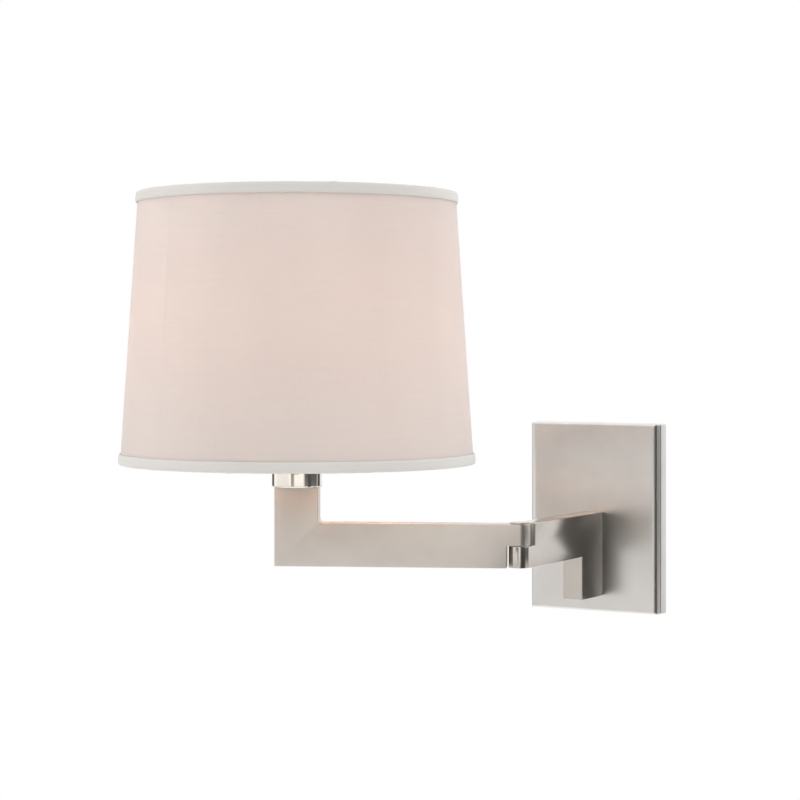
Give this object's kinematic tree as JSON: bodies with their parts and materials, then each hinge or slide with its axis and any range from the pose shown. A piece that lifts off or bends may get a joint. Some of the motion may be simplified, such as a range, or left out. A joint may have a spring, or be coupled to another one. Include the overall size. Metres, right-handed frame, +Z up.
{
  "type": "swing-arm wall lamp",
  "caption": "Swing-arm wall lamp: rectangular satin-nickel wall plate, flat-bar bracket and hinged flat-bar arm, polished socket collar and tapered off-white drum shade.",
  "frame": {"origin": "on the wall, at the middle of the mounting strap's back face, which is the middle of the wall plate", "axes": "+Z up, +Y into the wall, +X to the right as seen from the room"},
  "size_m": [0.3319, 0.3414, 0.3225],
  "materials": {
    "satin_nickel": "satin",
    "polished_nickel": "polished",
    "zinc_steel": "satin",
    "green_zinc": "satin",
    "brass": "satin",
    "black_phenolic": "satin",
    "nylon": "satin",
    "paperboard": "matte",
    "wire_covering": "satin",
    "faux_silk": "matte",
    "trim_cloth": "matte",
    "styrene": "satin",
    "bulb_glass": "satin"
  },
  "bodies": {
    "wall_side": {"front_plate": "satin_nickel", "shadow_spacer": "black_phenolic", "back_pan": "satin_nickel", "mounting_strap": "zinc_steel", "set_screw_top": "zinc_steel", "set_screw_bottom": "zinc_steel", "ground_screw": "green_zinc", "bracket_screw_upper": "zinc_steel", "bracket_screw_lower": "zinc_steel", "bracket_washer_upper": "zinc_steel", "bracket_washer_lower": "zinc_steel", "wire_bushing": "nylon", "wall_bracket": "satin_nickel", "wire_wall": "wire_covering", "pivot_tube": "zinc_steel", "pivot_washer": "nylon", "pivot_nut_bottom": "zinc_steel", "pivot_nut_top": "zinc_steel", "pivot_cap_bottom": "satin_nickel"},
    "arm_side": {"swing_arm": "satin_nickel", "wire_arm": "wire_covering", "pivot_cap_top": "satin_nickel", "riser_nipple": "zinc_steel", "collar_nut": "zinc_steel", "saddle_nut": "zinc_steel", "socket_collar": "polished_nickel", "harp_saddle": "zinc_steel", "harp_sleeve_left": "zinc_steel", "harp_sleeve_right": "zinc_steel", "harp": "zinc_steel", "socket_cap": "satin_nickel", "socket_shell": "satin_nickel", "socket_insulator": "paperboard", "socket_body": "black_phenolic", "screw_shell": "brass", "centre_contact": "brass", "bulb_glass": "bulb_glass", "bulb_cap": "zinc_steel", "bulb_contact": "brass", "top_fitter": "zinc_steel", "bottom_ring": "zinc_steel", "shade_cover": "faux_silk", "shade_liner": "styrene", "shade_trim_top": "trim_cloth", "shade_trim_bottom": "trim_cloth", "finial_washer": "satin_nickel", "finial": "satin_nickel"},
    "knob": {"switch_stem": "brass", "switch_knob": "black_phenolic"}
  },
  "joints": [
    {"name": "arm_swing", "type": "hinge", "parent": "wall_side", "child": "arm_side", "pos_m": [0, -0.1456, -0.0115], "axis": [0, 0, 1], "range_deg": [-24, 156]},
    {"name": "switch_turn", "type": "hinge", "parent": "arm_side", "child": "knob", "pos_m": [-0.1479, -0.21145, 0.0685], "axis": [0.4067, -0.9135, 0], "continuous": true}
  ]
}
